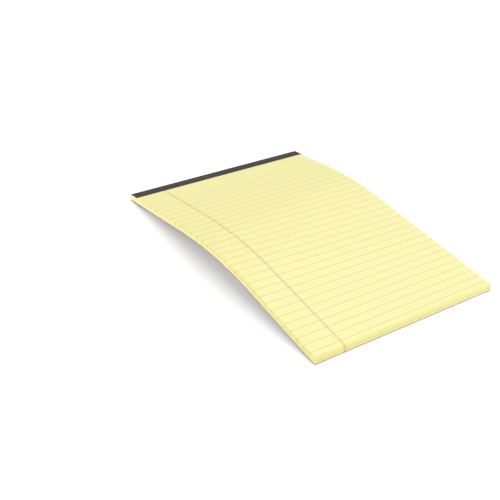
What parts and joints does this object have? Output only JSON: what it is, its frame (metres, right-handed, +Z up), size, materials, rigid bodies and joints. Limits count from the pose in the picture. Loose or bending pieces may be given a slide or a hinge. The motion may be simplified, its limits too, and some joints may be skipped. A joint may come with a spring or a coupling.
{
  "type": "notepad",
  "caption": "Letter-size ruled writing pad: yellow sheets on a chipboard back, bound at the head with dark tape over wire stitches, lying with a slight bow.",
  "frame": {"origin": "on the floor under the middle of the pad's box", "axes": "+Y towards the bound head, +X towards the pad's right edge as it is written on, +Z up out of the ruled face"},
  "size_m": [0.216, 0.2984, 0.0247],
  "materials": {
    "ruled_paper": "matt uncoated writing paper with printed rules",
    "chipboard": "matt grey-brown chipboard",
    "binding_tape": "matt charcoal crepe binding tape",
    "stitch_wire": "drawn tinned wire"
  },
  "bodies": {
    "root": {"ruled_sheets": "ruled_paper", "backing_board": "chipboard", "binding_tape": "binding_tape", "wire_stitch_1": "stitch_wire", "wire_stitch_2": "stitch_wire", "wire_stitch_3": "stitch_wire", "wire_stitch_4": "stitch_wire"}
  },
  "joints": []
}
